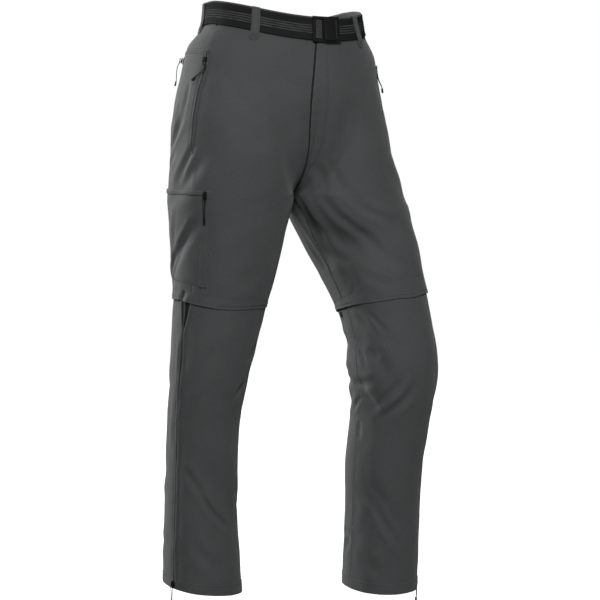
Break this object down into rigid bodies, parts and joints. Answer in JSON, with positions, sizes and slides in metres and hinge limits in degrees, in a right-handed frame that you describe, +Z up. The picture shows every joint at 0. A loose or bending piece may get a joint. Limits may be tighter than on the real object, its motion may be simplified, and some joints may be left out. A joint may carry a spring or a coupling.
{
  "type": "zip-off walking trousers with a webbing belt",
  "caption": "Worn-shape hiking trousers, legs zip off under knee flaps, with a thigh pocket, side zips and a buckled webbing belt.",
  "frame": {"origin": "middle of the waist opening, halfway up the waistband, where the wearer's waist holds the trousers", "axes": "+Z up the body, -Y towards the front of the wearer, +X towards the wearer's left"},
  "size_m": [0.4657, 0.3485, 1.099],
  "materials": {
    "cloth": "matt stretch-woven nylon",
    "webbing": "ribbed woven webbing",
    "zip_tape": "woven tape",
    "plastic": "satin moulding",
    "slider_metal": "black enamel",
    "cord": "braided cord"
  },
  "bodies": {
    "root": {"front_right": "cloth", "back_right": "cloth", "front_left": "cloth", "back_left": "cloth", "leg_front_right": "cloth", "leg_back_right": "cloth", "leg_front_left": "cloth", "leg_back_left": "cloth", "knee_flap_right": "cloth", "knee_flap_left": "cloth", "knee_zip_right": "zip_tape", "knee_zip_left": "zip_tape", "waistband_right": "cloth", "waistband_left": "cloth", "belt": "webbing", "belt_loop_front_right": "cloth", "belt_loop_side_right": "cloth", "belt_loop_back": "cloth", "belt_loop_side_left": "cloth", "belt_loop_front_left": "cloth", "buckle_frame": "plastic", "buckle_bar": "plastic", "buckle_plate": "plastic", "hand_zip_right": "zip_tape", "hand_zip_left": "zip_tape", "back_zip": "zip_tape", "thigh_zip": "zip_tape", "leg_zip_right": "zip_tape", "leg_zip_left": "zip_tape", "thigh_pocket": "cloth", "thigh_pocket_edge": "cloth", "slider_hand_right": "slider_metal", "slider_hand_left": "slider_metal", "slider_back": "slider_metal", "slider_thigh": "slider_metal", "slider_leg_right": "slider_metal", "slider_leg_left": "slider_metal", "pull_cord_hand_right": "cord", "pull_cord_hand_left": "cord", "pull_cord_back": "cord", "pull_cord_thigh": "cord", "pull_cord_leg_right": "cord", "pull_cord_leg_left": "cord", "pull_grip_hand_right": "plastic", "pull_grip_hand_left": "plastic", "pull_grip_back": "plastic", "pull_grip_thigh": "plastic", "pull_grip_leg_right": "plastic", "pull_grip_leg_left": "plastic"}
  },
  "joints": []
}
